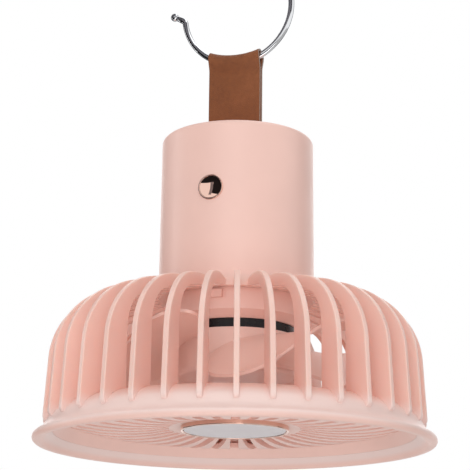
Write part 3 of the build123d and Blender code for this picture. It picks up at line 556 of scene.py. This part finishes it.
def make_world():
    """Plain white for the camera and in reflections, and an even, dimmer light otherwise."""
    world = bpy.data.worlds.new("studio")
    bpy.context.scene.world = world
    world.use_nodes = True
    tree = world.node_tree
    tree.nodes.clear()
    output = node(tree, "ShaderNodeOutputWorld")
    ambient = node(tree, "ShaderNodeBackground", Color=AMBIENT_COLOUR, Strength=AMBIENT)
    seen = node(tree, "ShaderNodeBackground", Color=(1, 1, 1, 1), Strength=1.0)
    path = node(tree, "ShaderNodeLightPath")
    either = combine(tree, "MAXIMUM", path.outputs["Is Camera Ray"],
                     path.outputs["Is Glossy Ray"])
    any_of_three = combine(tree, "MAXIMUM", either, path.outputs["Is Transmission Ray"])
    mix = node(tree, "ShaderNodeMixShader")
    tree.links.new(any_of_three, mix.inputs["Fac"])
    tree.links.new(ambient.outputs["Background"], mix.inputs[1])
    tree.links.new(seen.outputs["Background"], mix.inputs[2])
    tree.links.new(mix.outputs["Shader"], output.inputs["Surface"])


def area_lamp(name, turn, elevation, distance, size, power):
    data = bpy.data.lights.new(name, "AREA")
    data.shape = "RECTANGLE"
    data.size, data.size_y = size
    data.energy = power
    lamp = new_object(name, data)
    aim(lamp, VIEW_AZ + turn, elevation, distance, BODY_MIDDLE)
    return lamp


def card_material(name, shade):
    mat, tree, shader = new_material(name)
    shader.inputs["Base Color"].default_value = (shade, shade, shade * COOL, 1)
    shader.inputs["Roughness"].default_value = 1.0
    shader.inputs["Specular IOR Level"].default_value = 0.0
    return mat


def dark_card(name, mat, turn, elevation, size, distance=CARD_FAR, target=CARD_TARGET):
    """A dark card that shows in reflections only: it is hidden from the camera and from
    diffuse light, and it casts no shadow."""
    data = bpy.data.meshes.new(name)
    w, h = size[0] / 2, size[1] / 2
    data.from_pydata([(-w, -h, 0), (w, -h, 0), (w, h, 0), (-w, h, 0)], [], [(0, 1, 2, 3)])
    data.materials.append(mat)
    card = new_object(name, data)
    aim(card, VIEW_AZ + turn, elevation, distance, target)
    card.visible_camera = False
    card.visible_diffuse = False
    card.visible_shadow = False


make_floor()
make_world()

# Each lamp's turn from the camera and its elevation are in degrees, its power in watts.
key = area_lamp("key", -5, 6, 1.3, (0.7, 0.7), 3.1)
key.visible_glossy = False
area_lamp("back", 180, 20, 1.2, (1.4, 0.9), 2.6)
area_lamp("rim_left", -106, 10, 1.2, (0.5, 0.9), 1.7)
area_lamp("under", -5, -38, 1.2, (0.8, 0.8), 3.2)
area_lamp("top", 10, 78, 0.9, (0.8, 0.8), 2.0)

card_black = card_material("card_black", 0.02)
card_grey = card_material("card_grey", 0.15)
card_mild = card_material("card_mild", 0.30)

dark_card("card_low", card_black, -48, -26, (2.0, 0.74))
dark_card("card_left", card_black, -74, 14, (0.90, 0.75))
dark_card("card_mid", card_mild, -42, 18, (0.17, 0.75))
dark_card("card_back", card_grey, -128, 0, (0.7, 1.8))
dark_card("card_right", card_grey, 113, 10, (0.40, 1.8))
for i, turn in enumerate((10, -37, -84, -131)):
    dark_card("card_hook%d" % i, (card_grey, card_mild)[i % 2], turn, 26, HOOK_CARD_SIZE,
              CARD_NEAR, HOOK_TARGET)
dark_card("card_above", card_grey, -70, 62, (0.16, 0.11), CARD_NEAR, HOOK_TARGET)

# ---------------------------------------------------------------- camera
# Fitted to the photo's outlines. Its place is in millimetres, with its height measured from
# the plane of the rim, its two turns are in radians, and its focal length is in pixels of a
# picture FRAME_PX wide.
CAM_X, CAM_BACK, CAM_Z = -0.821, 706.815, -94.995
CAM_PITCH, CAM_ROLL = 0.259, 0.011
CAM_F, FRAME_PX, SENSOR = 1665.825, 470, 36.0


def make_camera():
    """The fitted camera: it looks up at the fan from below its rim."""
    right = facing(VIEW_AZ + 90)
    into = -facing(VIEW_AZ)
    up = Vector((0, 0, 1))
    place = right * CAM_X - into * CAM_BACK + up * (CAM_Z - HANG)
    forward = into * math.cos(CAM_PITCH) + up * math.sin(CAM_PITCH)
    above = -into * math.sin(CAM_PITCH) + up * math.cos(CAM_PITCH)
    c, s = math.cos(CAM_ROLL), math.sin(CAM_ROLL)
    side = right * c + above * s
    above = above * c - right * s
    data = bpy.data.cameras.new("camera")
    data.sensor_width = SENSOR
    data.lens = CAM_F / FRAME_PX * SENSOR
    data.clip_start, data.clip_end = 0.01, 100
    camera = new_object("camera", data)
    stand = Matrix((side, above, -forward)).transposed().to_4x4()
    stand.translation = place / 1000
    camera.matrix_world = stand
    bpy.context.scene.camera = camera


make_camera()
bpy.context.scene.view_settings.view_transform = "Standard"
